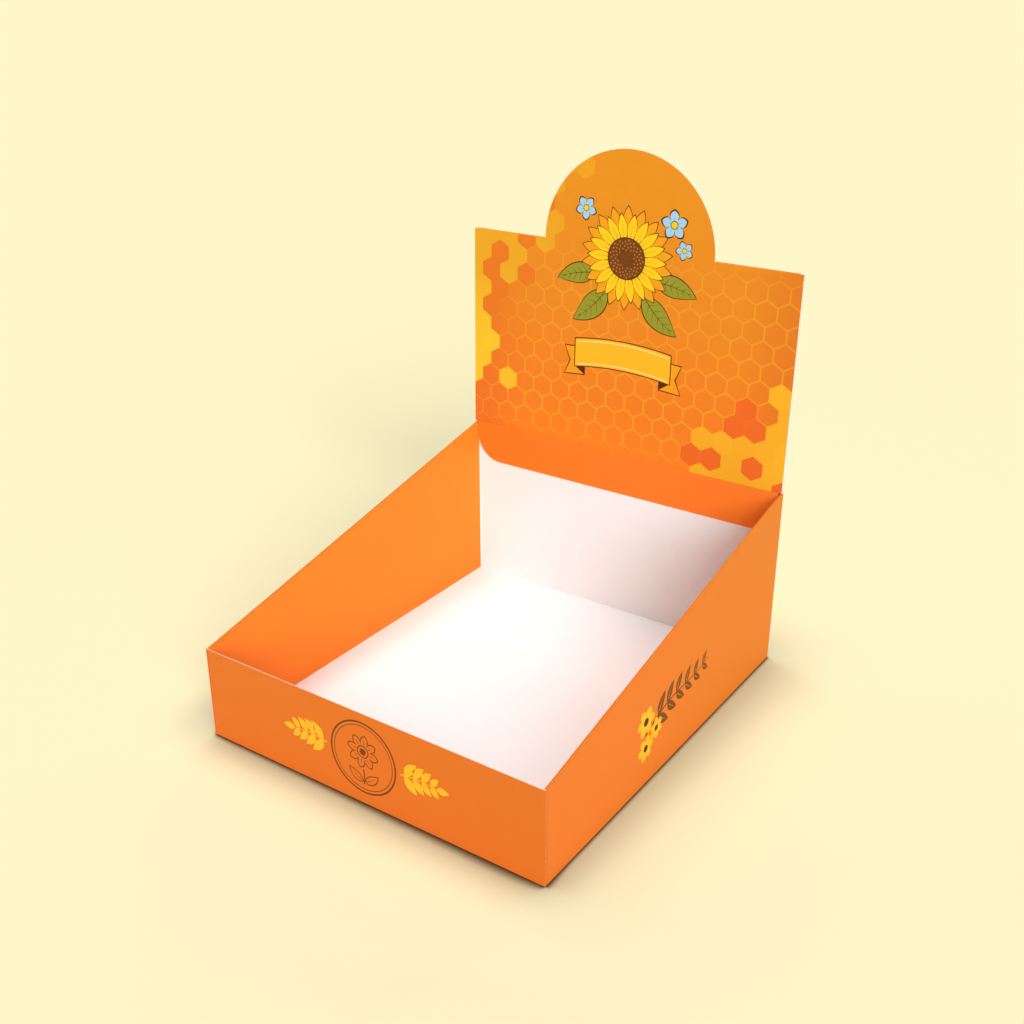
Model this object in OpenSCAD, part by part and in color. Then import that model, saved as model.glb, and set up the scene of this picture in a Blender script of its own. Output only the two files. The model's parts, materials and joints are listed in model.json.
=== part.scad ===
// Counter display box folded from one sheet of solid board.
// A tray with double side walls, and a lid folded in half and tucked in as the header.
// Millimetres. +Z is up, +Y is the back, and the front faces -Y.
// The origin is the middle of the underside.
// The box is drawn on show: the lid stands up and its tuck flap is inside the back wall.

/* [Tray] */
// outside width
width = 240; // [180:1:320]
// outside depth
depth = 275; // [200:1:340]
// height of the front wall
front_height = 60; // [40:1:80]
// height of the crease between the back wall and the lid
back_height = 121.5; // [100:0.5:160]

/* [Board] */
// thickness of the board
board = 0.6; // [0.4:0.05:1]

/* [Lid and header] */
// radius of the round crown cut out of the rear lid panel
crown_radius = 62; // [40:1:80]
// length of the tuck flap, from its crease to its edge
flap_length = 30; // [20:1:45]
// radius of the tuck flap's two corners
flap_corner = 18; // [4:1:19]
// angle by which the front lid panel leans away from the rear one
lean = 0.9; // [0.5:0.1:2]

/* [Corner flaps and lock tabs] */
// length of the flaps on the front wall's ends
front_flap_length = 62; // [40:1:80]
// length of the flaps on the back wall's ends
back_flap_length = 78; // [40:1:90]
// width of each lock tab at its root
tab_width = 34; // [20:1:50]
// how much narrower each side of a lock tab is at its tip
tab_taper = 0.3; // [0:0.1:1]
// distance of each lock tab's middle from the middle of the side wall
tab_place = 74; // [50:1:80]

/* [Clearances] */
// play of a corner flap between the two layers of a side wall
flap_play = 0.2; // [0.1:0.05:0.6]
// room between the closed lid and the edges under it
lid_room = 0.3; // [0.2:0.05:1]
// room between the tuck flap and the front wall when the lid is closed
tuck_room = 0.4; // [0.3:0.05:1]
// room between the tuck flap's sides and the inner side walls
flap_room = 0.5; // [0.3:0.05:2]
// gap left by the knife round the crown and at the shoulder crease
knife_gap = 0.2; // [0.1:0.05:0.6]
// running gap round the rolled bead in a crease that folds
crease_gap = 0.05; // [0.02:0.01:0.1]
// room between the inner side walls and the front wall
end_room = 0.3; // [0.2:0.05:1]
// how far the folded top of a side wall stops short of the back wall
back_relief = 1.1; // [0.5:0.1:3]
// room round a lock tab in its slot
slot_room = 0.1; // [0.05:0.05:0.3]
// how far a lock tab stays above the underside
tab_lift = 0.1; // [0.05:0.05:0.3]
// how far the corner flaps stay above the floor
flap_lift = 0.6; // [0.3:0.1:3]
// how far the corner flaps stay below the folded top of the side wall
flap_drop = 1.2; // [0.5:0.1:5]

/* [Hidden] */
$fn = 96;
right_turn = 90;
half_turn = 180;
half_width = width / 2;
half_depth = depth / 2;
half_board = board / 2;
knife_half = knife_gap / 2;

// the slope of the closed lid and of the side walls' tops
fold_rise = back_height - front_height;
fold_run = depth - half_board;
fold_line = sqrt(fold_rise * fold_rise + fold_run * fold_run);
slope = atan2(fold_rise, fold_run) - asin((half_board + lid_room) / fold_line);
top_drop = board / cos(slope);

// the side walls
side_thick = 3 * board + flap_play;
inner_face = half_width - side_thick;
flap_face = half_width - 2 * board;
outer_face = half_width - board;
front_face = half_depth - board;
spine_front = -front_face + end_room;
spine_back = front_face - back_relief;

// the lid: axes of the three creases that fold, as distances back and up
back_axis_y = half_depth - half_board;
fold_axis_y = half_depth - board;
lid_run = depth - 2 * board - tuck_room;
panel_length = lid_run / cos(slope) / 2;
shoulder_height = back_height + panel_length;
tuck_axis_y = fold_axis_y - half_board * cos(lean) - panel_length * sin(lean);
flap_lean = asin((front_face - crease_gap - half_board - tuck_axis_y) / flap_length);
flap_rest = lean + flap_lean;
fold_corner = board * 0.6;

// angles turned from the display to the closed lid
back_turn = right_turn + slope;
tuck_turn = right_turn - slope;
relief_turn = 1;
back_mitre = (half_turn - back_turn) / 2 - relief_turn;
tuck_mitre = (half_turn - tuck_turn) / 2 - relief_turn;
bead_radius = half_board;
socket_radius = half_board + crease_gap;
mitre_reach = 4 * board;

// widths across the box
crease_width = 2 * flap_face;
flap_width = 2 * (inner_face - flap_room);
window_radius = crown_radius + knife_gap;
shoulder_inner = window_radius + board;
shoulder_outer = inner_face - flap_room;

function slope_at(y) = front_height + (y + half_depth) * tan(slope);
function under_spine(y) = slope_at(y) - top_drop;

// a board panel in an upright plane from front to back, its points given as back and up
module side_plate(x, points) {
  translate([x, 0, 0])
    rotate([right_turn, 0, right_turn])
      linear_extrude(board)
        polygon(points);
}

// a profile given as back and up, drawn out across the box
module across(length) {
  translate([-length / 2, 0, 0])
    rotate([right_turn, 0, right_turn])
      linear_extrude(length)
        children();
}

// a quarter of a round bar, for a rolled bend
module quarter_bend(length) {
  intersection() {
    cylinder(h = length, r = board);
    cube([board, board, length]);
  }
}

// a bend under the front or the back wall
module floor_bend() {
  translate([0, -front_face, board])
    across(crease_width)
      intersection() {
        circle(board);
        translate([-board, -board])
          square(board);
      }
}

module base_panel() {
  color([0.98, 0.97, 0.95])
    difference() {
      translate([-outer_face, -front_face, 0])
        cube([2 * outer_face, 2 * front_face, board]);
      for (side = [-1, 1])
        for (place = [-tab_place, tab_place])
          translate([
            side * (inner_face + half_board) - half_board - slot_room,
            place - tab_width / 2 - slot_room,
            -board
          ])
            cube([
              board + 2 * slot_room,
              tab_width + 2 * slot_room,
              3 * board
            ]);
    }
}

module front_wall() {
  color([0.93, 0.48, 0.18]) {
    translate([-crease_width / 2, -half_depth, board])
      cube([crease_width, board, front_height - board]);
    floor_bend();
  }
}

module back_wall() {
  color([0.94, 0.52, 0.2]) {
    translate([0, back_axis_y, back_height])
      across(crease_width) {
        difference() {
          translate([-half_board, board - back_height])
            square([board, back_height - board]);
          polygon([
            [0, 0],
            [-mitre_reach * sin(back_mitre), -mitre_reach * cos(back_mitre)],
            [-mitre_reach, 0]
          ]);
        }
        circle(bead_radius);
      }
    mirror([0, 1, 0])
      floor_bend();
  }
}

module side_outer() {
  side_plate(outer_face, [
    [-half_depth, board],
    [-half_depth, front_height],
    [spine_front, slope_at(spine_front)],
    [spine_front, under_spine(spine_front)],
    [spine_back, under_spine(spine_back)],
    [spine_back, slope_at(spine_back)],
    [half_depth, slope_at(spine_back)],
    [half_depth, board]
  ]);
  translate([outer_face, half_depth, board])
    rotate([right_turn, right_turn, 0])
      quarter_bend(depth);
}

module side_spine() {
  intersection() {
    translate([0, -half_depth, front_height])
      rotate([slope, 0, 0]) {
        translate([inner_face + board, 0, -board])
          cube([side_thick - 2 * board, 2 * depth, board]);
        translate([outer_face, 2 * depth, -board])
          rotate([right_turn, 0, 0])
            quarter_bend(2 * depth);
        translate([inner_face + board, 0, -board])
          rotate([right_turn, 0, half_turn])
            quarter_bend(2 * depth);
      }
    translate([0, spine_front, 0])
      cube([width, spine_back - spine_front, 2 * back_height]);
  }
}

module side_inner() {
  side_plate(inner_face, [
    [spine_front, board],
    [spine_front, under_spine(spine_front)],
    [spine_back, under_spine(spine_back)],
    [spine_back, board]
  ]);
  for (place = [-tab_place, tab_place])
    side_plate(inner_face, [
      [place - tab_width / 2, board],
      [place + tab_width / 2, board],
      [place + tab_width / 2 - tab_taper, tab_lift],
      [place - tab_width / 2 + tab_taper, tab_lift]
    ]);
}

module front_flap() {
  translate([flap_face, -front_face, board])
    mirror([0, 1, 0])
      quarter_bend(front_height - board);
  side_plate(flap_face, [
    [-front_face, board + flap_lift],
    [-front_face, under_spine(-front_face) - flap_drop],
    [
      -front_face + front_flap_length,
      under_spine(-front_face + front_flap_length) - flap_drop
    ],
    [-front_face + front_flap_length, board + flap_lift]
  ]);
}

module back_flap() {
  translate([flap_face, front_face, board])
    quarter_bend(under_spine(spine_back) - board);
  side_plate(flap_face, [
    [front_face, board + flap_lift],
    [front_face, under_spine(spine_back) - flap_drop],
    [
      front_face - back_flap_length,
      under_spine(front_face - back_flap_length) - flap_drop
    ],
    [front_face - back_flap_length, board + flap_lift]
  ]);
}

// a round bar on the shoulder crease, on both sides of the crown
module shoulder_bars(radius, end_gap) {
  for (side = [-1, 1])
    translate([side * (shoulder_inner + shoulder_outer) / 2, 0, 0])
      across(shoulder_outer - shoulder_inner + 2 * end_gap)
        circle(radius);
}

// the rear lid panel, with the round window that the crown came out of
module header_back() {
  color([0.95, 0.93, 0.9]) {
    translate([0, fold_axis_y, shoulder_height])
      shoulder_bars(bead_radius, 0);
    difference() {
      translate([0, back_axis_y, back_height])
        across(width)
          difference() {
            translate([-half_board, 0])
              square([board, panel_length - knife_half]);
            circle(socket_radius);
            polygon([
              [0, 0],
              [-mitre_reach * sin(back_mitre), mitre_reach * cos(back_mitre)],
              [-mitre_reach, 0]
            ]);
            translate([half_board, panel_length - knife_half])
              fold_corner_cut();
          }
      translate([0, half_depth + board, shoulder_height])
        rotate([right_turn, 0, 0])
          cylinder(h = 3 * board, r = window_radius);
    }
  }
}

// what is taken off the outer corner of a folded edge to round it
module fold_corner_cut() {
  difference() {
    translate([-fold_corner, -fold_corner])
      square(2 * fold_corner);
    translate([-fold_corner, -fold_corner])
      circle(fold_corner);
    translate([-2 * fold_corner, -2 * fold_corner])
      square([fold_corner, 4 * fold_corner]);
    translate([-2 * fold_corner, -2 * fold_corner])
      square([4 * fold_corner, fold_corner]);
  }
}

// places what belongs to the front lid panel, drawn from the shoulder crease down
module on_front_panel() {
  translate([0, fold_axis_y, shoulder_height])
    rotate([-lean, 0, 0])
      children();
}

module header_front() {
  color([0.94, 0.55, 0.18])
    on_front_panel() {
      difference() {
        across(width)
          difference() {
            translate([-board, -panel_length])
              square([board, panel_length - knife_half]);
            translate([-half_board, -panel_length])
              polygon([
                [0, 0],
                [mitre_reach * sin(tuck_mitre), mitre_reach * cos(tuck_mitre)],
                [mitre_reach, 0]
              ]);
            translate([-board, -knife_half])
              mirror([1, 0])
                fold_corner_cut();
          }
        shoulder_bars(socket_radius, knife_gap);
      }
      translate([0, -half_board, -panel_length])
        across(flap_width)
          circle(bead_radius);
      intersection() {
        rotate([right_turn, 0, 0])
          cylinder(h = board, r = crown_radius);
        translate([-width, -width, -crown_radius / 2])
          cube(2 * width);
      }
    }
}

module tuck_flap() {
  color([0.98, 0.45, 0.14])
    on_front_panel()
      translate([0, -half_board, -panel_length])
        rotate([flap_rest, 0, 0])
          difference() {
            translate([0, half_board, 0])
              rotate([right_turn, 0, 0])
                linear_extrude(board)
                  flap_outline();
            across(width) {
              circle(socket_radius);
              polygon([
                [0, 0],
                [mitre_reach * sin(tuck_mitre), -mitre_reach * cos(tuck_mitre)],
                [mitre_reach, 0]
              ]);
            }
          }
}

// the tuck flap seen from the front, its crease along the top
module flap_outline() {
  intersection() {
    translate([-flap_width / 2, -flap_length])
      square([flap_width, flap_length]);
    union() {
      translate([-flap_width / 2, flap_corner - flap_length])
        square([flap_width, flap_length]);
      translate([flap_corner - flap_width / 2, -flap_length])
        square([flap_width - 2 * flap_corner, flap_length]);
      for (side = [-1, 1])
        translate([side * (flap_width / 2 - flap_corner), flap_corner - flap_length])
          circle(flap_corner);
    }
  }
}

module left() {
  mirror([1, 0, 0])
    children();
}

base_panel();
front_wall();
back_wall();
color([0.95, 0.53, 0.2]) left() side_outer();  // side_outer_left
color([0.95, 0.53, 0.2]) side_outer();  // side_outer_right
color([0.97, 0.56, 0.22]) left() side_spine();  // side_spine_left
color([0.97, 0.56, 0.22]) side_spine();  // side_spine_right
color([0.98, 0.5, 0.18]) left() side_inner();  // side_inner_left
color([0.98, 0.5, 0.18]) side_inner();  // side_inner_right
color([0.9, 0.88, 0.85]) left() front_flap();  // front_flap_left
color([0.9, 0.88, 0.85]) front_flap();  // front_flap_right
color([0.9, 0.88, 0.85]) left() back_flap();  // back_flap_left
color([0.9, 0.88, 0.85]) back_flap();  // back_flap_right
header_back();
header_front();
tuck_flap();
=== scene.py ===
"""Looks of the counter display box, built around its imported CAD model."""
import json
import math

import bmesh
import bpy
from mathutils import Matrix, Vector


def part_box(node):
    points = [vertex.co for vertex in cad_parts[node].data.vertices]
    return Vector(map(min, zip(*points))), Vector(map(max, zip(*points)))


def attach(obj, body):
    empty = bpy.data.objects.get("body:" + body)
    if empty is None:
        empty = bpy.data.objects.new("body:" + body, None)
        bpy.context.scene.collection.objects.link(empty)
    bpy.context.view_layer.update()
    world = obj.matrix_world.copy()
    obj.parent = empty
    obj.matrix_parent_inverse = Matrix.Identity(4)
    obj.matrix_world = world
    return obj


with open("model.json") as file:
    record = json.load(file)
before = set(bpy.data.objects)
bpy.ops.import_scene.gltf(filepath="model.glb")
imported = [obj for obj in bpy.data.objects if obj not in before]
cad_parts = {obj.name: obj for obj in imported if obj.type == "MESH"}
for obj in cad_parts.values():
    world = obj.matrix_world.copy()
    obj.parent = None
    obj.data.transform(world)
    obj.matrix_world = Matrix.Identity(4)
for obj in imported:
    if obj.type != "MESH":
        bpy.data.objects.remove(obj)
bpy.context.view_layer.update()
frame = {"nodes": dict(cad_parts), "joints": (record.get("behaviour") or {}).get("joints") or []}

# Sizes of the CAD model, in millimetres and radians
X, Y, Z = range(3)
LOW, HIGH = range(2)
JOINTS = {joint["name"]: joint for joint in frame["joints"]}


def end_of(node, side, axis):
    """Where a CAD node ends at rest, on its low or high side."""
    return round(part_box(node)[side][axis] * 1000, 3)


BOARD = end_of("base_panel", HIGH, Z)
HALF_WIDTH = end_of("side_outer_right", HIGH, X)
HALF_DEPTH = end_of("back_wall", HIGH, Y)
INNER_FACE = end_of("side_inner_right", LOW, X)
FRONT_HEIGHT = end_of("front_wall", HIGH, Z)
BACK_HEIGHT = JOINTS["lid_fold"]["pos_m"][Z] * 1000
SLOPE = math.radians(JOINTS["lid_fold"]["range_deg"][HIGH] - 90)
LEAN = math.radians(180 + JOINTS["header_fold"]["range_deg"][LOW])
FLAP_LEAN = math.radians(4.1083)     # of the tuck flap, hanging from its crease
PANEL = 140.0175      # from the header's tuck crease to its shoulders
CROWN = 62.0          # radius of the header's round top
KNIFE_HALF = 0.1      # half of the gap that the knife leaves round the crown
SHOULDER = BACK_HEIGHT + PANEL
OUTER_FACE = HALF_WIDTH - BOARD
FRONT_FACE = HALF_DEPTH - BOARD
FLAP_FACE = HALF_WIDTH - 2 * BOARD
SPINE_MIDDLE = (OUTER_FACE + INNER_FACE + BOARD) / 2
SPINE_FLAT = (OUTER_FACE - INNER_FACE - BOARD) / 2

# The board's looks
INK_DEPTH = 0.12      # share of the board's thickness that the printed skin takes
SHINE = 0.07          # specular level of the print and of the board
PRINT_ROUGH = 0.44
BARE_ROUGH = 0.82
SOAKED_SHARE = 0.35   # how far ink has run into the front wall's top edge


def ink(red, green, blue):
    """A colour given as a picture shows it, as the shader's own numbers."""
    def straight(c):
        c /= 255
        return c / 12.92 if c <= 0.04045 else ((c + 0.055) / 1.055) ** 2.4
    return (straight(red), straight(green), straight(blue), 1.0)


CORE = ink(232, 220, 203)       # the cut edge
PLY = ink(210, 197, 178)        # the darker plies in it
# The plain side is a little cool: partly the board's own white, partly painted to offset the orange light
# that the walls throw on it
LINER = ink(246, 249, 250)      # the plain side
FIBRE = ink(226, 219, 206)      # the fibres in it
RUBBED = ink(252, 190, 130)     # print rubbed along a fold


# Sums in shaders
class Shade:
    """A material's nodes, with its sums written as plain arithmetic. Places are in millimetres."""

    def __init__(self, name):
        self.material = bpy.data.materials.new(name)
        self.material.use_nodes = True
        self.tree = self.material.node_tree
        self.bsdf = self.tree.nodes["Principled BSDF"]
        coordinate = self.tree.nodes.new("ShaderNodeTexCoord")
        self.place = coordinate.outputs["Object"]
        split = self.tree.nodes.new("ShaderNodeSeparateXYZ")
        self.tree.links.new(self.place, split.inputs[0])
        self.x, self.y, self.z = (Num(self, split.outputs[i]) * 1000 for i in range(3))

    def plug(self, socket, value):
        """Sets a socket to a number or colour, or links it."""
        if isinstance(value, Num):
            value = value.value
        if isinstance(value, bpy.types.NodeSocket):
            self.tree.links.new(value, socket)
        else:
            socket.default_value = value

    def sum(self, operation, *values):
        made = self.tree.nodes.new("ShaderNodeMath")
        made.operation = operation
        for socket, value in zip(made.inputs, values):
            self.plug(socket, value)
        return Num(self, made.outputs[0])

    def ramp(self, value, start, end):
        """0 up to start, 1 from end on, and smooth between. The end may be the lower of the two."""
        if start > end:
            return 1 - self.ramp(value, end, start)
        made = self.tree.nodes.new("ShaderNodeMapRange")
        made.interpolation_type = "SMOOTHSTEP"
        self.plug(made.inputs["Value"], value)
        made.inputs["From Min"].default_value = start
        made.inputs["From Max"].default_value = end
        return Num(self, made.outputs[0])

    def mix(self, share, first, second):
        made = self.tree.nodes.new("ShaderNodeMix")
        made.data_type = "RGBA"
        self.plug(made.inputs[0], share)
        self.plug(made.inputs[6], first)
        self.plug(made.inputs[7], second)
        return made.outputs[2]

    def tint(self, colour, value):
        """A colour made lighter or darker, value 1 leaving it as it is."""
        made = self.tree.nodes.new("ShaderNodeVectorMath")
        made.operation = "SCALE"
        self.plug(made.inputs[0], colour[:3] if isinstance(colour, tuple) else colour)
        self.plug(made.inputs["Scale"], value)
        return made.outputs[0]

    def times(self, colour, other):
        made = self.tree.nodes.new("ShaderNodeVectorMath")
        made.operation = "MULTIPLY"
        self.plug(made.inputs[0], colour)
        self.plug(made.inputs[1], other)
        return made.outputs[0]

    def open_share(self, distance):
        """The share of what lies around a place, out to a distance in metres, that is open."""
        made = self.tree.nodes.new("ShaderNodeAmbientOcclusion")
        made.samples = 8
        self.plug(made.inputs["Distance"], distance)
        return Num(self, made.outputs["AO"])

    def point(self, x, y, z):
        made = self.tree.nodes.new("ShaderNodeCombineXYZ")
        for socket, value in zip(made.inputs, (x, y, z)):
            self.plug(socket, value)
        return made.outputs[0]

    def noise(self, size, detail, place=None, stretch=(1, 1, 1)):
        """Cloudy noise, its features about size millimetres across."""
        scaled = self.tree.nodes.new("ShaderNodeVectorMath")
        scaled.operation = "MULTIPLY"
        self.plug(scaled.inputs[0], place or self.place)
        share = 1000 if place is None else 1
        scaled.inputs[1].default_value = [share / s for s in stretch]
        made = self.tree.nodes.new("ShaderNodeTexNoise")
        self.plug(made.inputs["Vector"], scaled.outputs[0])
        made.inputs["Scale"].default_value = 1 / size
        made.inputs["Detail"].default_value = detail
        return Num(self, made.outputs[0])

    def bump(self, height, distance, after=None):
        """A normal from a height from 0 to 1, which stands for a distance in metres."""
        made = self.tree.nodes.new("ShaderNodeBump")
        made.inputs["Strength"].default_value = 1.0
        made.inputs["Distance"].default_value = distance
        self.plug(made.inputs["Height"], height)
        if after is not None:
            self.tree.links.new(after, made.inputs["Normal"])
        return made.outputs[0]


class Num:
    """A number that the nodes work out."""

    def __init__(self, shade, value):
        self.shade, self.value = shade, value

    def __add__(self, other):
        return self.shade.sum("ADD", self, other)

    def __radd__(self, other):
        return self.shade.sum("ADD", other, self)

    def __sub__(self, other):
        return self.shade.sum("SUBTRACT", self, other)

    def __rsub__(self, other):
        return self.shade.sum("SUBTRACT", other, self)

    def __mul__(self, other):
        return self.shade.sum("MULTIPLY", self, other)

    def __truediv__(self, other):
        return self.shade.sum("DIVIDE", self, other)

    def __abs__(self):
        return self.shade.sum("ABSOLUTE", self)

    def above(self, other):
        return self.shade.sum("MAXIMUM", self, other)

    def below(self, other):
        return self.shade.sum("MINIMUM", self, other)

    def over(self, other):
        """1 where this is the larger one, and 0 elsewhere."""
        return self.shade.sum("GREATER_THAN", self, other)

    def fraction(self):
        return self.shade.sum("FRACT", self)

    def rounded(self):
        return self.shade.sum("ROUND", self)


def length(a, b, c=0.0):
    return a.shade.sum("SQRT", a * a + b * b + c * c)


def uneven(cloud, cloud_share, fleck, fleck_share):
    """A number close to 1 that makes a colour cloudy and flecked."""
    return 1 + (cloud - 0.5) * cloud_share + (fleck - 0.5) * fleck_share


# The board
def board(name, depth, colour, soaked=None):
    """Solid board. depth(shade) is 0 on the printed skin and 1 on the plain one, and colour(shade) the print.

    soaked(shade) is how far the print's ink has run into a cut edge, from 0 to 1.
    """
    shade = Shade(name)
    s = depth(shade)
    printed = 1 - shade.ramp(s, INK_DEPTH * 0.6, INK_DEPTH)
    plain = shade.ramp(s, 1 - INK_DEPTH, 1 - INK_DEPTH * 0.6)
    cloud = shade.noise(9.0, 3.0)
    fleck = shade.noise(0.9, 2.0)
    grain = shade.noise(1.4, 3.0, stretch=(1.0, 1.0, 3.5))
    wide = shade.noise(55.0, 1.0)

    # the print, a little uneven as ink is on board
    laid = shade.tint(colour(shade), uneven(cloud, 0.05, fleck, 0.045))
    # the plain side, with faint fibres
    fibres = shade.ramp(grain, 0.62, 0.74) * 0.22
    bare = shade.mix(fibres, shade.tint(LINER, 1 + (cloud - 0.5) * 0.03), FIBRE)
    # the cut edge, in plies
    layers = shade.noise(0.09, 1.0, place=shade.point(s * BOARD, grain * 0.2, fleck * 0.2))
    cut = shade.mix(shade.ramp(layers, 0.4, 0.62), CORE, PLY)
    if soaked:
        cut = shade.mix(soaked(shade), cut, laid)

    colours = shade.mix(printed, shade.mix(plain, cut, bare), laid)
    shade.plug(shade.bsdf.inputs["Base Color"], colours)
    rough = BARE_ROUGH + printed * (PRINT_ROUGH - BARE_ROUGH) + (cloud - 0.5) * 0.12
    shade.plug(shade.bsdf.inputs["Roughness"], rough)
    shade.bsdf.inputs["Specular IOR Level"].default_value = SHINE
    fine = shade.bump(fleck * 0.6 + grain * 0.4, 0.000012)
    shade.plug(shade.bsdf.inputs["Normal"], shade.bump(wide, 0.0004, after=fine))
    return shade.material


# How deep a place lies in each panel, from its printed skin
def crease_ends(shade):
    """1 at both ends of the lid's lowest crease, beside the tuck flap, where ink has run round the board."""
    low_x, high_x, low_y, reach = 115.0, 118.8, 130.0, 4.0
    beside = abs(shade.x).over(low_x) * (1 - abs(shade.x).over(high_x))
    return beside * shade.y.over(low_y) * (1 - abs(shade.z - BACK_HEIGHT).over(reach))


def shell_depth(shade):
    """Depth into the tray's outer layer, printed outside and underneath, and inked at its corners' tips."""
    depth = 1 - length(
        (abs(shade.x) - OUTER_FACE).above(0.0),
        (abs(shade.y) - FRONT_FACE).above(0.0),
        (BOARD - shade.z).above(0.0),
    ) / BOARD
    margin = 0.03
    tip = abs(shade.x).over(OUTER_FACE - margin) * abs(shade.y).over(FRONT_FACE - margin)
    return depth * (1 - tip.above(crease_ends(shade)))


def spine_depth(shade):
    """Depth into the folded top of a side wall."""
    height = (shade.z - FRONT_HEIGHT) * math.cos(SLOPE) - (shade.y + HALF_DEPTH) * math.sin(SLOPE)
    across = (abs(abs(shade.x) - SPINE_MIDDLE) - SPINE_FLAT).above(0.0)
    return 1 - length(across, (height + BOARD).above(0.0)) / BOARD


def inner_depth(shade):
    """Depth into a side wall's inner layer, printed on the side that faces the tray."""
    return (abs(shade.x) - INNER_FACE) / BOARD


def flap_depth(shade):
    """Depth into a corner flap and the bend that it turns on."""
    across = (abs(shade.x) - FLAP_FACE).above(0.0)
    return 1 - length(across, (abs(shade.y) - FRONT_FACE).above(0.0)) / BOARD


def rear_depth(shade):
    """Depth into the rear lid panel, printed on the back and over the folded shoulder edge."""
    depth = 1 - length(
        (shade.y - FRONT_FACE).above(0.0),
        (shade.z - (SHOULDER - KNIFE_HALF - BOARD)).above(0.0),
    ) / BOARD
    return depth * (1 - crease_ends(shade))


def panel_axes(shade):
    """Across the front lid panel and up it from its tuck crease, and depth from its printed face."""
    back = shade.y - FRONT_FACE
    up = shade.z - SHOULDER
    rise = back * math.sin(LEAN) + up * math.cos(LEAN)
    through = back * math.cos(LEAN) - up * math.sin(LEAN)
    return shade.x, rise + PANEL, through + BOARD


def beside_crown(shade):
    """1 on the header's shoulders, and 0 under the crown."""
    return shade.ramp(abs(shade.x), CROWN, CROWN + 0.1)


def header_depth(shade):
    """Depth into the front lid panel, printed on its face and over the fold at its shoulders."""
    _, v, through = panel_axes(shade)
    fold = (v - (PANEL - KNIFE_HALF - BOARD)).above(0.0) * beside_crown(shade)
    depth = 1 - length((BOARD - through).above(0.0), fold) / BOARD
    return depth * shade.ramp(v, BOARD, BOARD * 1.3)


def tuck_depth(shade):
    """Depth into the tuck flap from its printed face."""
    crease_y = FRONT_FACE - BOARD / 2 * math.cos(LEAN) - PANEL * math.sin(LEAN)
    crease_z = SHOULDER - PANEL * math.cos(LEAN) + BOARD / 2 * math.sin(LEAN)
    back, up = shade.y - crease_y, shade.z - crease_z
    through = back * math.cos(FLAP_LEAN) + up * math.sin(FLAP_LEAN)
    return (through + BOARD / 2) / BOARD * shade.ramp(length(back, up), BOARD, BOARD * 1.3)


# The prints
def rubbed(shade, colour, fold):
    """A print rubbed a little paler along a fold. fold is the distance from it."""
    patches = shade.ramp(shade.noise(2.4, 3.0), 0.40, 0.66)
    return shade.mix(shade.ramp(fold, 0.6, 0.05) * (patches * 0.15 + 0.02), colour, RUBBED)


def tray_orange(shade):
    """The outside of the tray. The front wall's print ends in its corners, and its orange is a little darker
    than the side walls' beside it, which is painted shade.
    """
    front = shade.mix(shade.ramp(shade.z, 0, 90), ink(222, 114, 36), ink(223, 118, 37))
    side = shade.mix(shade.ramp(shade.y, -120, 130), ink(229, 121, 38), ink(222, 123, 30))
    # painted shade: the front wall a little darker than the side walls round its corners
    colour = shade.mix(shade.ramp(shade.y, -FRONT_FACE, 3.5 - HALF_DEPTH), front, side)
    beside, before = HALF_WIDTH - abs(shade.x), HALF_DEPTH - abs(shade.y)
    return rubbed(shade, colour, (beside + before).below(beside.below(before) + shade.z))


def spine_orange(shade):
    """The folded tops of the side walls, rubbed along both of their folds."""
    colour = shade.mix(shade.ramp(shade.z, 50, 122), ink(216, 113, 34), ink(217, 120, 34))
    folds = abs(abs(abs(shade.x) - SPINE_MIDDLE) - SPINE_FLAT - BOARD * 0.5)
    return rubbed(shade, colour, folds * 2)


def inner_orange(shade):
    """The inner layers of the side walls, a little stronger low down near the front wall, which is painted
    light that lifts the front wall's shadow there.
    """
    colour = shade.mix(shade.ramp(shade.z, 0, 120), ink(242, 128, 39), ink(243, 142, 43))
    from_corner = shade.y + HALF_DEPTH + shade.z
    # painted light: the print made lighter and redder where the front wall's shadow falls
    return shade.mix(shade.ramp(from_corner, 100, 70), colour, ink(255, 130, 43))


def rear_orange(shade):
    """The back of the rear lid panel."""
    return shade.mix(shade.ramp(shade.z, 121, 262), ink(228, 120, 34), ink(226, 130, 32))


def tuck_orange(shade):
    """The tuck flap, in one orange."""
    return ink(252, 131, 43)


# The header's honeycomb, in the axes of the front lid panel
CELL = 14.6                       # width of a cell
ROW = CELL * math.sqrt(3) / 2     # from one row of cells to the next
CELL_U, CELL_V = -91.4, 37.4      # middle of one cell, from which the others are counted


def header_ground(shade, x, v):
    """The ground under the net, yellower towards the crown and redder at the sides."""
    ground = shade.mix(shade.ramp(v, 4, 34), ink(245, 133, 38), ink(238, 129, 37))
    ground = shade.mix(shade.ramp(v, 30, 120), ground, ink(228, 138, 35))
    ground = shade.mix(shade.ramp(v, 110, 190), ground, ink(228, 145, 35))
    ground = shade.mix(shade.ramp(x, -64, -124) * 0.7, ground, ink(228, 107, 36))
    return shade.mix(shade.ramp(x, 78, 126) * 0.6, ground, ink(214, 109, 36))


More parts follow.
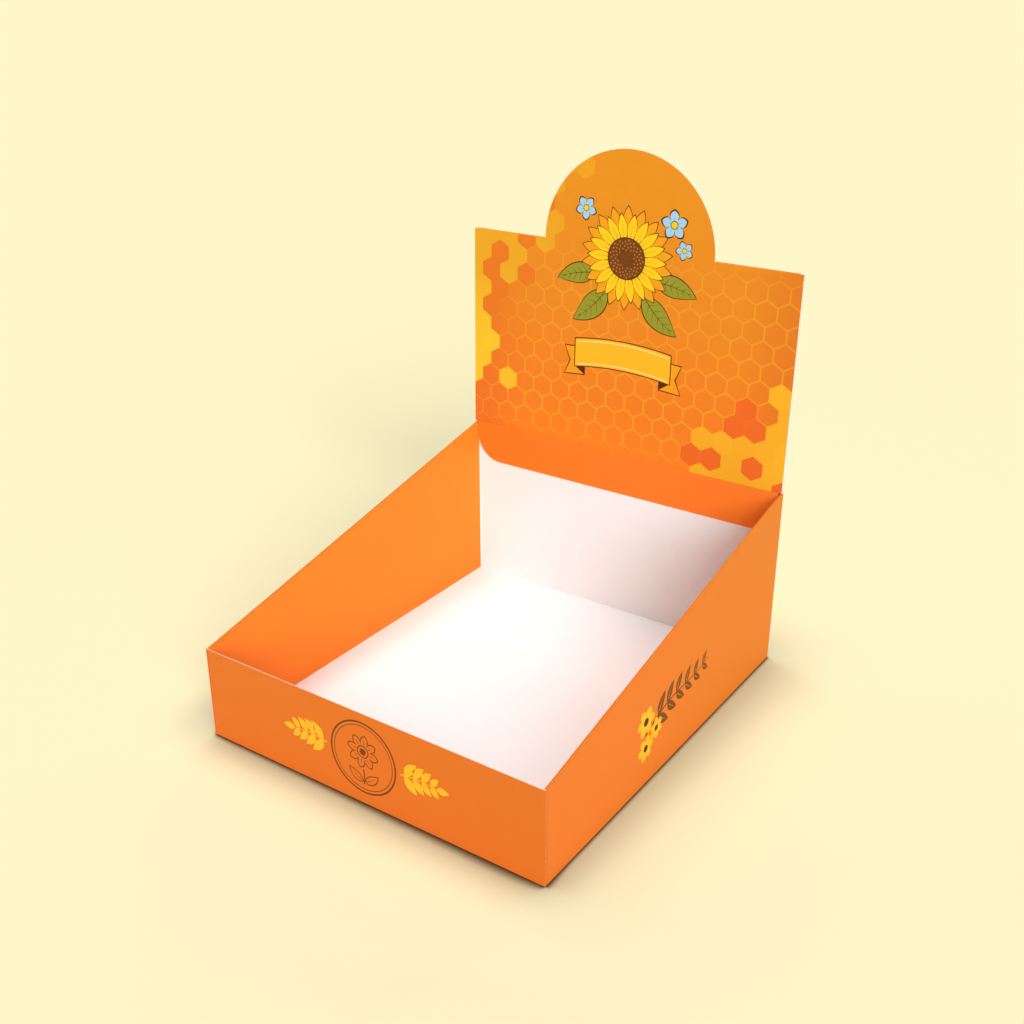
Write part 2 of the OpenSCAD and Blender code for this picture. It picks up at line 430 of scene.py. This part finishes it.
def nearest_cell(x, v):
    """The middle of the cell that a place lies in, and how far inside the cell's edge the place is."""
    u, w = x - CELL_U, v - CELL_V

    def grid(shift_u, shift_w):
        """A place's nearest point of one of the two square grids that make up the honeycomb."""
        a, b = (u - shift_u) / CELL, (w - shift_w) / (2 * ROW)
        column, line = a.rounded(), b.rounded()
        away = (a - column) * CELL, (b - line) * (2 * ROW)
        middle = column * CELL + shift_u, line * (2 * ROW) + shift_w
        return away, middle

    (first_u, first_w), first_middle = grid(0.0, 0.0)
    (second_u, second_w), second_middle = grid(CELL / 2, ROW)
    second = (first_u * first_u + first_w * first_w).over(second_u * second_u + second_w * second_w)
    first = 1 - second
    du, dw = first_u * first + second_u * second, first_w * first + second_w * second
    cell_u, cell_w = (first_middle[i] * first + second_middle[i] * second for i in (0, 1))
    reach = abs(du).above(abs(du) * 0.5 + abs(dw) * (math.sqrt(3) / 2))
    return cell_u, cell_w, CELL / 2 - reach


def with_net(shade, x, v, inside, ground):
    """The ground with the net of pale lines, which fades towards the left, the crease and the crown."""
    seen = shade.ramp(x + shade.ramp(v, 64, 20) * 20, -118, -64)
    seen = seen * shade.ramp(v, -3, 13) * shade.ramp(v, 152, 118)
    seen = seen * (0.64 - shade.ramp(v, 36, 92) * 0.16)
    line = shade.mix(shade.ramp(v, 30, 100), ink(255, 172, 50), ink(244, 168, 54))
    return shade.mix(shade.ramp(inside, 0.95, 0.1) * seen, ground, line)


def chance(shade, number, size):
    """A cell's own number from 0 to 1, which looks drawn by lot."""
    return (shade.sum("SINE", number) * size).fraction()


def favour(shade, cx, cv):
    """How likely a cell is to be filled: more so near the left edge, the lower right corner and the crown."""
    left = shade.ramp(cx, -80, -124) * shade.ramp(cv, 16, 46)
    upper = shade.ramp(cv, 88, 122) * shade.ramp(cx, -52, -108) * 0.9
    corner = shade.ramp(length((cx - 126) * 0.74, cv - 2), 78, 28)
    crown = shade.ramp(length(cx, cv - 140), 44, 66) * shade.ramp(cx, -14, -44) * shade.ramp(cv, 130, 150)
    return left.above(upper).above(corner).above(crown)


def honeycomb(shade):
    """The header's print: a warm ground, a net of cells, and some cells filled near the edges."""
    x, v, _ = panel_axes(shade)
    cell_u, cell_w, inside = nearest_cell(x, v)
    ground = with_net(shade, x, v, inside, header_ground(shade, x, v))

    i, j = (cell_u / (CELL / 2)).rounded(), (cell_w / ROW).rounded()
    one = chance(shade, i * 17.23 + j * 3.917, 43.7585)
    other = chance(shade, i * 8.117 + j * 23.41 + 2.0, 37.197)
    favoured = favour(shade, cell_u + CELL_U, cell_w + CELL_V)
    yellow = favoured.over(one * 1.05 + 0.12)
    deep = favoured.over(other * 0.75 + 0.12)

    red = shade.mix(other, ink(234, 98, 38), ink(230, 111, 37))
    red = shade.mix(shade.ramp(x, 20, -40), red, ink(228, 119, 35))
    ground = shade.mix(deep * (1 - yellow) * 0.85, ground, red)
    honey = shade.mix(shade.ramp(x, -40, 40), ink(246, 197, 46), ink(240, 171, 39))
    honey = shade.mix(other * 0.6, honey, ink(244, 180, 42))
    honey = shade.mix(shade.ramp(v, 60, 124), honey, ink(230, 166, 37))
    honey = shade.mix(shade.ramp(v, 120, 175), honey, ink(231, 160, 37))
    away_from_fold = 9.0
    fold = abs(v - PANEL) + (1 - beside_crown(shade)) * away_from_fold
    return rubbed(shade, shade.mix(yellow, ground, honey), fold)


def wall_top_soaked(shade):
    """The front wall's top edge, where ink has run into the cut."""
    return shade.ramp(shade.z, FRONT_HEIGHT - 0.1, FRONT_HEIGHT - 0.04) * SOAKED_SHARE


shell = board("board_tray", shell_depth, tray_orange, soaked=wall_top_soaked)
spine = board("board_spine", spine_depth, spine_orange)
lining = board("board_lining", inner_depth, inner_orange)
wing = board("board_wing", flap_depth, tray_orange)
rear = board("board_rear", rear_depth, rear_orange)
header = board("board_header", header_depth, honeycomb)
tuck = board("board_tuck", tuck_depth, tuck_orange)

MATERIAL_OF = {
    "base_panel": shell, "front_wall": shell, "back_wall": shell,
    "side_outer_left": shell, "side_outer_right": shell,
    "side_spine_left": spine, "side_spine_right": spine,
    "side_inner_left": lining, "side_inner_right": lining,
    "front_flap_left": wing, "front_flap_right": wing,
    "back_flap_left": wing, "back_flap_right": wing,
    "header_back": rear, "header_front": header, "tuck_flap": tuck,
}
for name, piece in frame["nodes"].items():
    for slot in piece.material_slots:
        slot.material = MATERIAL_OF[name]


# The printed pictures, as thin layers of ink
LAYER = 0.015         # thickness of a layer, in mm
LIFT = 0.004          # between the board and the first layer, in mm


def printed(name, colour):
    """One ink of a picture, a little uneven."""
    shade = Shade(name)
    cloud = shade.noise(6.0, 3.0)
    fleck = shade.noise(0.9, 2.0)
    shade.plug(shade.bsdf.inputs["Base Color"], shade.tint(colour, uneven(cloud, 0.07, fleck, 0.06)))
    shade.plug(shade.bsdf.inputs["Roughness"], PRINT_ROUGH + (cloud - 0.5) * 0.12)
    shade.bsdf.inputs["Specular IOR Level"].default_value = SHINE
    shade.plug(shade.bsdf.inputs["Normal"], shade.bump(fleck, 0.000012))
    return shade.material


INKS = {name: printed("ink_" + name, colour) for name, colour in {
    "line": ink(84, 44, 24),
    "brown": ink(118, 66, 26),
    "seed": ink(196, 132, 48),
    "yellow": ink(246, 202, 32),
    "amber": ink(240, 160, 30),
    "honey": ink(250, 186, 40),
    "olive": ink(150, 150, 48),
    "sky": ink(160, 208, 236),
    "slate": ink(128, 158, 192),
    "cream": ink(252, 232, 168),
}.items()}


class Picture:
    """A flat picture on one panel.

    place(u, v, h) turns across, up and out from the board into the row frame, in mm.
    """

    def __init__(self, name, body, slot, place):
        self.name, self.body, self.slot, self.place = name, body, slot, place
        self.mesh = bmesh.new()
        self.inks = []

    def corner(self, point, height):
        return self.mesh.verts.new(Vector(self.place(point[0], point[1], height)) / 1000)

    def heights(self, level):
        return LIFT, LIFT + LAYER * (level + 1)

    def face(self, corners, ink_name):
        if ink_name not in self.inks:
            self.inks.append(ink_name)
        self.mesh.faces.new(corners).material_index = self.inks.index(ink_name)

    def shape(self, outline, ink_name, level):
        """A filled outline."""
        low, high = ([self.corner(p, h) for p in outline] for h in self.heights(level))
        self.face(high, ink_name)
        self.face(low[::-1], ink_name)
        for k in range(len(low)):
            n = (k + 1) % len(low)
            self.face((low[k], low[n], high[n], high[k]), ink_name)

    def band(self, one, two, ink_name, level, closed=False):
        """What lies between two lines of points."""
        low, high = self.heights(level)
        rows = [[self.corner(p, h) for p in line] for line in (one, two) for h in (low, high)]
        one_low, one_high, two_low, two_high = rows
        last = len(one)
        for k in range(last if closed else last - 1):
            n = (k + 1) % last
            self.face((one_high[k], one_high[n], two_high[n], two_high[k]), ink_name)
            self.face((two_low[k], two_low[n], one_low[n], one_low[k]), ink_name)
            self.face((one_low[k], one_low[n], one_high[n], one_high[k]), ink_name)
            self.face((two_high[k], two_high[n], two_low[n], two_low[k]), ink_name)
        if not closed:
            for k in (0, last - 1):
                self.face((one_low[k], one_high[k], two_high[k], two_low[k]), ink_name)

    def stroke(self, line, width, ink_name, level, closed=False, taper=False):
        """A pen line through points."""
        one, two = [], []
        last = len(line) - 1
        for k, (u, v) in enumerate(line):
            before = line[k - 1] if k or closed else line[k]
            after = line[(k + 1) % len(line)] if k < last or closed else line[k]
            du, dv = after[0] - before[0], after[1] - before[1]
            size = math.hypot(du, dv)
            half = width / 2 * (1 - 0.8 * k / last if taper else 1)
            one.append((u - dv / size * half, v + du / size * half))
            two.append((u + dv / size * half, v - du / size * half))
        self.band(one, two, ink_name, level, closed)

    def finish(self):
        bmesh.ops.recalc_face_normals(self.mesh, faces=self.mesh.faces)
        data = bpy.data.meshes.new(self.name)
        self.mesh.to_mesh(data)
        self.mesh.free()
        for ink_name in self.inks:
            data.materials.append(INKS[ink_name])
        piece = bpy.data.objects.new(self.name, data)
        bpy.context.scene.collection.objects.link(piece)
        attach(piece, self.body)


# Outlines, in millimetres
def turned(points, centre=(0, 0), angle=0.0, size=1.0):
    """Points drawn round the origin, turned, made larger and moved."""
    c, s = math.cos(angle) * size, math.sin(angle) * size
    return [(centre[0] + u * c - v * s, centre[1] + u * s + v * c) for u, v in points]


def circle(radius, count=64):
    angles = [k * math.tau / count for k in range(count)]
    return [(radius * math.cos(angle), radius * math.sin(angle)) for angle in angles]


def petals(count, low, high, power, steps=10):
    """A ring of petals as one outline, their tips at radius high and the notches between at low."""
    points = []
    for k in range(count * steps):
        near_tip = 1 - abs(2 * (k / steps % 1) - 1)
        radius = low + (high - low) * near_tip ** power
        angle = k / (count * steps) * math.tau
        points.append((radius * math.cos(angle), radius * math.sin(angle)))
    return points


def leaf_sides(long, wide, curve, steps=14):
    """The two sides and the midrib of a pointed leaf along +u, curving by an angle from base to tip."""
    one, two, middle = [], [], []
    u = v = 0.0
    for k in range(steps + 1):
        t = k / steps
        heading = curve * (t - 0.5)
        half = wide / 2 * math.sin(math.pi * t ** 0.8) ** 0.9 if 0 < k < steps else 0.0
        middle.append((u, v))
        one.append((u - math.sin(heading) * half, v + math.cos(heading) * half))
        two.append((u + math.sin(heading) * half, v - math.cos(heading) * half))
        u += math.cos(heading) * long / steps
        v += math.sin(heading) * long / steps
    return one, two, middle


def round_leaf(one, two):
    """A leaf's two sides as one outline."""
    return one + two[-2:0:-1]


def arc(reach, sag, height, steps=24):
    """Points of a shallow arch of half width reach."""
    points = []
    for k in range(steps + 1):
        t = 2 * k / steps - 1
        points.append((reach * t, height + sag * (1 - t * t)))
    return points


# Motifs. level is the lowest layer of ink that a motif uses
def draw_leaf(picture, centre, angle, long, wide, curve, level):
    """A green leaf with a dark rim, a midrib and side veins."""
    rim, veins = 0.7, 5
    one, two, middle = leaf_sides(long, wide, curve)
    wide_one, wide_two, _ = leaf_sides(long + 2 * rim, wide + 2 * rim, curve)
    around = [(u - rim, v) for u, v in round_leaf(wide_one, wide_two)]
    picture.shape(turned(around, centre, angle), "line", level)
    picture.shape(turned(round_leaf(one, two), centre, angle), "olive", level + 1)
    picture.stroke(turned(middle[1:-2], centre, angle), 0.6, "line", level + 2, taper=True)
    for k in range(veins):
        step = 3 + 2 * k
        if step + 2 >= len(middle):
            break
        for side in (one, two):
            (u, v), (end_u, end_v) = middle[step], side[step + 2]
            reach = [(u + (end_u - u) * t, v + (end_v - v) * t) for t in (0.05, 0.45, 0.85)]
            picture.stroke(turned(reach, centre, angle), 0.35, "line", level + 2, taper=True)


def draw_blossom(picture, centre, size, angle, level):
    """A small round-petalled blossom."""
    count = 5
    picture.shape(turned(petals(count, 3.4, 8.0, 0.42), centre, angle, size * 1.09), "line", level)
    picture.shape(turned(petals(count, 3.1, 7.7, 0.42), centre, angle, size), "sky", level + 1)
    for k in range(count):
        way = angle + (k + 0.5) * math.tau / count
        crease = turned([(2.2, 0), (3.6, 0), (5.2, 0)], centre, way, size)
        picture.stroke(crease, 0.4, "slate", level + 2, taper=True)
    picture.shape(turned(circle(2.0, 32), centre, 0, size * 1.15), "line", level + 3)
    picture.shape(turned(circle(1.7, 32), centre, 0, size * 1.1), "yellow", level + 4)


def draw_sunflower(picture, centre, size, level):
    """Two rings of petals round a dark disc with its seeds in spirals."""
    def at(points, angle=0.0):
        return turned(points, centre, angle, size)

    count = 18
    half_turn = math.pi / count
    picture.shape(at(petals(count, 24.2, 36.9, 0.62)), "line", level)
    picture.shape(at(petals(count, 23.2, 36.0, 0.62)), "amber", level + 1)
    picture.shape(at(petals(count, 20.4, 31.9, 0.62), half_turn), "line", level + 2)
    picture.shape(at(petals(count, 19.5, 31.0, 0.62), half_turn), "yellow", level + 3)
    for k in range(count):
        way = (k + 0.5) * math.tau / count
        fold = at([(15.0, 0), (19.0, 0), (24.5, 0)], way + half_turn)
        picture.stroke(fold, 0.7, "amber", level + 4, taper=True)
        gap = at([(14.5, 0), (17.0, 0), (19.6, 0)], way)
        picture.stroke(gap, 0.6, "line", level + 4, taper=True)
    picture.shape(at(circle(14.9)), "line", level + 5)
    picture.shape(at(circle(14.1)), "brown", level + 6)
    golden = math.pi * (3 - math.sqrt(5))
    for k in range(3, 92):
        radius, way = 1.4 * math.sqrt(k), k * golden
        spot = (centre[0] + size * radius * math.cos(way), centre[1] + size * radius * math.sin(way))
        seed = turned(circle(0.34 + 0.02 * radius, 8), spot, 0, size)
        picture.shape(seed, "seed" if radius > 6 else "line", level + 7)


def draw_ribbon(picture, centre, half_width, half_height, sag, level):
    """A plain ribbon with folded ends."""
    def at(points):
        return [(centre[0] + u, centre[1] + v) for u, v in points]

    drop, dip, rim = half_height * 0.5, 1.2, 0.7
    fold, notch, tip = half_width * 0.80, half_width * 1.10, half_width * 1.22
    for side in (-1, 1):
        for grow, fill, up in ((rim, "line", 0), (0.0, "amber", 1)):
            top, low = half_height - drop + grow, -half_height - drop - grow
            end = [
                (fold - grow, top), (tip + grow, top - dip),
                (notch + grow * 1.4, (top + low) / 2 - dip),
                (tip + grow, low - dip), (fold - grow, low),
            ]
            picture.shape(at([(side * u, v) for u, v in end][::side]), fill, level + up)
        shadow = [(fold, -half_height - drop), (half_width, -half_height), (fold, -half_height + 0.6)]
        picture.shape(at([(side * u, v) for u, v in shadow][::side]), "line", level + 2)
    for grow, fill, up in ((rim, "line", 3), (0.0, "honey", 4)):
        top = arc(half_width + grow, sag, half_height + grow)
        low = arc(half_width + grow, sag, -half_height - grow)
        picture.band(at(top), at(low), fill, level + up)
    for height in (half_height - 1.7, 1.7 - half_height):
        picture.stroke(at(arc(half_width - 2.0, sag, height)), 0.5, "cream", level + 5)


# Places on the panels
def on_header(u, v, h):
    through, rise = -BOARD - h, v - PANEL
    return (
        u,
        FRONT_FACE + through * math.cos(LEAN) + rise * math.sin(LEAN),
        SHOULDER + rise * math.cos(LEAN) - through * math.sin(LEAN),
    )


def on_front(u, v, h):
    return u, -HALF_DEPTH - h, v


def on_right(u, v, h):
    return HALF_WIDTH + h, u, v


def on_left(u, v, h):
    return -HALF_WIDTH - h, -u, v


# The pictures
def sunflower_picture():
    """A sunflower with four leaves and three small blossoms."""
    picture = Picture("print_sunflower", "lid_front", "header_print", on_header)
    for centre, angle, long, wide, curve in (
        ((14, 112), -42, 34, 15, 0.5), ((-14, 112), -138, 34, 15, -0.5),
        ((22, 122), -14, 30, 13, -0.4), ((-22, 122), -166, 30, 13, 0.4),
    ):
        draw_leaf(picture, centre, math.radians(angle), long, wide, curve, 0)
    draw_sunflower(picture, (0, 134), 0.92, 6)
    for centre, size, angle in (((-31, 163), 0.95, 0.3), ((33, 159), 1.15, 1.0), ((41, 144), 0.75, 0.1)):
        draw_blossom(picture, centre, size, angle, 0)
    picture.finish()


def ribbon_picture():
    picture = Picture("print_ribbon", "lid_front", "header_print", on_header)
    draw_ribbon(picture, (0, 66), half_width=36, half_height=9.5, sag=3.0, level=0)
    picture.finish()


def badge_picture():
    """A round badge with a flower drawn in line."""
    picture = Picture("print_badge", "tray", "orange_board", on_front)
    centre, flower, tilt, count = (0, 31), (0, 35), 0.2, 8
    for radius, width in ((23.0, 1.1), (20.8, 0.5)):
        picture.stroke(turned(circle(radius, 96), centre), width, "brown", 0, closed=True)
    picture.stroke(turned(petals(count, 5.4, 11.0, 0.45), flower, tilt), 0.7, "brown", 0, closed=True)
    picture.stroke(turned(circle(3.8, 40), flower), 0.7, "brown", 0, closed=True)
    picture.shape(turned(circle(2.2, 32), flower), "brown", 0)
    for k in range(count):
        crease = turned([(5.0, 0), (6.6, 0), (8.2, 0)], flower, tilt + (k + 0.5) * math.tau / count)
        picture.stroke(crease, 0.5, "brown", 0, taper=True)
    picture.stroke([(0, 23.6), (0.3, 19.0), (0, 13.4)], 0.8, "brown", 0)
    for side in (-1, 1):
        one, two, middle = leaf_sides(12, 5.4, 0.6 * side)
        base, angle = (side * 0.6, 15.5), math.pi / 2 - side * 0.95
        picture.stroke(turned(round_leaf(one, two), base, angle), 0.6, "brown", 0, closed=True)
        picture.stroke(turned(middle[1:-3], base, angle), 0.45, "brown", 0, taper=True)
    picture.finish()


LEAF_GAP = 0.2        # from a stem's middle to the leaves' bases, in mm


def sprig_picture(name, side):
    """A yellow sprig that grows away from the badge, to the left where side is -1."""
    picture = Picture(name, "tray", "orange_board", on_front)
    start, long, height, rise = 26.5, 27, 31, 1.6
    outwards = 0 if side > 0 else math.pi

    def stem(t, beside=0.0):
        return side * (start + t * long), height + rise * math.sin(t * math.pi) + beside

    picture.stroke([stem(k / 5) for k in range(6)], 1.0, "honey", 0, taper=True)
    for k in range(4):
        for turn in (-1, 1):
            base = stem(0.12 + 0.22 * k, turn * LEAF_GAP)
            one, two, middle = leaf_sides(12.5 - 1.6 * k, 5.6 - 0.5 * k, -0.5 * turn * side)
            angle = outwards + turn * side * 0.85
            picture.shape(turned(round_leaf(one, two), base, angle), "honey", 1)
            picture.stroke(turned(middle[2:-3], base, angle), 0.4, "amber", 2, taper=True)
    one, two, _ = leaf_sides(8.5, 4.4, 0.0)
    picture.shape(turned(round_leaf(one, two), (side * 51.0, 31.6), outwards), "honey", 1)
    picture.finish()


def branch_picture(name, place, mirror):
    """A leafy branch with three round blossoms, which climbs with a side wall's top.

    mirror is 1 on the right wall and -1 on the left one.
    """
    picture = Picture(name, "tray", "orange_board", place)
    start, long, sway, waves, height = -36, 78, 3.2, 5.2, 42

    def at(u, v):
        along = u * math.cos(SLOPE) - v * math.sin(SLOPE)
        return mirror * along, height + u * math.sin(SLOPE) + v * math.cos(SLOPE)

    def stem(t, beside=0.0):
        return at(start + long * t, sway * math.sin(t * waves) + beside)

    def heading(angle):
        return SLOPE + angle if mirror > 0 else math.pi - SLOPE - angle

    picture.stroke([stem(k / 24) for k in range(25)], 1.3, "line", 0, taper=True)
    for k in range(6):
        for turn in (-1, 1):
            base = stem(0.2 + 0.14 * k, turn * LEAF_GAP)
            one, two, middle = leaf_sides(15 - 1.2 * k, 6.6 - 0.5 * k, -0.5 * turn * mirror)
            angle = heading(turn * 0.8)
            picture.shape(turned(round_leaf(one, two), base, angle), "brown", 1)
            picture.stroke(turned(middle[2:-3], base, angle), 0.45, "amber", 2, taper=True)
    for u, v, size in ((-34, 9, 1.15), (-37, -9, 1.0), (-24, -4, 0.85)):
        centre = at(u, v)
        picture.shape(turned(petals(6, 4.6, 8.6, 0.42), centre, u, size), "honey", 3)
        picture.stroke(turned(petals(6, 4.4, 8.3, 0.42), centre, u, size), 0.45, "amber", 4, closed=True)
        picture.shape(turned(circle(2.3, 32), centre, 0, size), "line", 5)
    picture.finish()


sunflower_picture()
ribbon_picture()
badge_picture()
sprig_picture("print_sprig_left", -1)
sprig_picture("print_sprig_right", 1)
branch_picture("print_branch_right", on_right, 1)
branch_picture("print_branch_left", on_left, -1)


# The camera, in metres and degrees. Azimuth 0 is in front of the box, and 90 to its right
CAMERA_PLACE = (0.388029, -0.556402, 0.436684)
CAMERA_AZIMUTH, CAMERA_ELEVATION = 34.5544, 24.4516
CAMERA_LENS, SENSOR_WIDTH = 43.594, 36.0

# The lamps: name, azimuth, elevation, strength and how wide each looks, in degrees
LAMPS = (
    ("key", 49, 25, 2.75, 38),
    ("top", -90, 84, 1.85, 32),
    ("rear", 195, 12, 0.9, 50),
    ("left", -105, 12, 0.6, 50),
)
DOME, DOME_STRENGTH = (0.99, 1.0, 1.02, 1.0), 0.1

# The counter and the backdrop
WHITE = (1.0, 1.0, 1.0, 1.0)
PALE = ink(255, 246, 201)             # the colour that both show
COUNTER = 0.87                        # share of it that brings the counter to that colour under the lamps
COUNTER_BOUNCE = ink(245, 238, 214)   # the counter as the box sees it
COUNTER_REACH = 20.0                  # half of the counter's width, in metres

# The shadow close to the box, before its front and beside its side walls. Reaches are in metres
FRONT_SHADOW, FRONT_REACH = (0.02, 0.05, 0.04, 1.0), 0.033
SIDE_SHADOW, SIDE_REACH = (0.33, 0.52, 0.59, 1.0), 0.062

# The thin dark line where the box touches the counter, wider before the front and most so on the right
TOUCH_SHADOW, TOUCH_REACH = (0.18, 0.10, 0.055, 1.0), 0.0032
TOUCH_FRONT, TOUCH_RIGHT = 0.0017, 0.005

# A painted shadow beside the front left corner, set by position: its middle and its reach in mm
LEE_SHADOW = (0.85, 0.83, 0.85)
LEE_X, LEE_Y, LEE_REACH = -135.0, -122.0, 36


def direction(azimuth, elevation):
    """The way from the box towards a place that far round it and that high, both in degrees."""
    a, e = math.radians(azimuth), math.radians(elevation)
    return Vector((math.sin(a) * math.cos(e), -math.cos(a) * math.cos(e), math.sin(e)))


def seen_share(tree):
    """1 for what the camera sees, straight or in a reflection."""
    path = tree.nodes.new("ShaderNodeLightPath")
    total = path.outputs["Is Camera Ray"]
    for name in ("Is Glossy Ray", "Is Transmission Ray"):
        both = tree.nodes.new("ShaderNodeMath")
        both.operation = "MAXIMUM"
        tree.links.new(total, both.inputs[0])
        tree.links.new(path.outputs[name], both.inputs[1])
        total = both.outputs[0]
    return total


def make_camera():
    data = bpy.data.cameras.new("camera")
    data.sensor_width = SENSOR_WIDTH
    data.lens = CAMERA_LENS
    data.clip_start, data.clip_end = 0.01, 100.0
    camera = bpy.data.objects.new("camera", data)
    bpy.context.scene.collection.objects.link(camera)
    camera.location = CAMERA_PLACE
    back = direction(CAMERA_AZIMUTH, CAMERA_ELEVATION)
    camera.rotation_mode = "QUATERNION"
    camera.rotation_quaternion = (-back).to_track_quat("-Z", "Y")
    bpy.context.scene.camera = camera


def make_world():
    """A weak dome, and behind it the backdrop's colour."""
    world = bpy.data.worlds.new("studio")
    bpy.context.scene.world = world
    world.use_nodes = True
    tree = world.node_tree
    tree.nodes.clear()
    dome = tree.nodes.new("ShaderNodeBackground")
    dome.inputs["Color"].default_value = DOME
    dome.inputs["Strength"].default_value = DOME_STRENGTH
    backdrop = tree.nodes.new("ShaderNodeBackground")
    backdrop.inputs["Color"].default_value = PALE
    mixed = tree.nodes.new("ShaderNodeMixShader")
    out = tree.nodes.new("ShaderNodeOutputWorld")
    tree.links.new(seen_share(tree), mixed.inputs[0])
    tree.links.new(dome.outputs[0], mixed.inputs[1])
    tree.links.new(backdrop.outputs[0], mixed.inputs[2])
    tree.links.new(mixed.outputs[0], out.inputs[0])


def counter_shadow(shade):
    """How dark the counter is close to the box.

    The shadow is wider and softer beside the tall side walls than before the front wall.
    """
    beside = shade.ramp(abs(shade.x) + shade.y + (HALF_DEPTH - HALF_WIDTH), -30, 30)
    tone = shade.mix(beside, FRONT_SHADOW, SIDE_SHADOW)
    reach = FRONT_REACH + beside * (SIDE_REACH - FRONT_REACH)
    wide = shade.mix(shade.open_share(reach), tone, WHITE)
    wider = TOUCH_FRONT + shade.ramp(shade.x, -110, 110) * TOUCH_RIGHT
    gap = TOUCH_REACH + wider * (1 - beside)
    touch = shade.mix(shade.ramp(shade.open_share(gap), 0.5, 0.95), TOUCH_SHADOW, WHITE)
    # painted shadow beside the front left corner, set by position
    lee = shade.ramp(length(shade.x - LEE_X, shade.y - LEE_Y), LEE_REACH, 4)
    touch = shade.mix(lee, touch, shade.times(touch, LEE_SHADOW))
    return shade.times(wide, touch)


def counter():
    """A plain pale counter that darkens close to the box."""
    shade = Shade("counter")
    tree = shade.tree
    seen = tree.nodes.new("ShaderNodeBsdfDiffuse")
    shown = tuple(c * COUNTER for c in PALE[:3])
    shade.plug(seen.inputs["Color"], shade.times(counter_shadow(shade), shown))
    giving = tree.nodes.new("ShaderNodeBsdfDiffuse")
    giving.inputs["Color"].default_value = COUNTER_BOUNCE
    mixed = tree.nodes.new("ShaderNodeMixShader")
    tree.links.new(seen_share(tree), mixed.inputs[0])
    tree.links.new(giving.outputs[0], mixed.inputs[1])
    tree.links.new(seen.outputs[0], mixed.inputs[2])
    tree.links.new(mixed.outputs[0], tree.nodes["Material Output"].inputs["Surface"])
    tree.nodes.remove(shade.bsdf)
    return shade.material


def make_floor():
    mesh = bpy.data.meshes.new("floor")
    corners = [(u * COUNTER_REACH, v * COUNTER_REACH, 0) for u, v in ((-1, -1), (1, -1), (1, 1), (-1, 1))]
    mesh.from_pydata(corners, [], [(0, 1, 2, 3)])
    floor = bpy.data.objects.new("floor", mesh)
    bpy.context.scene.collection.objects.link(floor)
    mesh.materials.append(counter())


def make_lamp(name, azimuth, elevation, strength, spread):
    """A soft lamp far away."""
    lamp = bpy.data.lights.new(name, "SUN")
    lamp.energy = strength
    lamp.angle = math.radians(spread)
    sun = bpy.data.objects.new(name, lamp)
    bpy.context.scene.collection.objects.link(sun)
    sun.rotation_mode = "QUATERNION"
    sun.rotation_quaternion = direction(azimuth, elevation).to_track_quat("Z", "Y")


make_camera()
make_world()
make_floor()
for lamp in LAMPS:
    make_lamp(*lamp)
bpy.context.scene.view_settings.view_transform = "Standard"
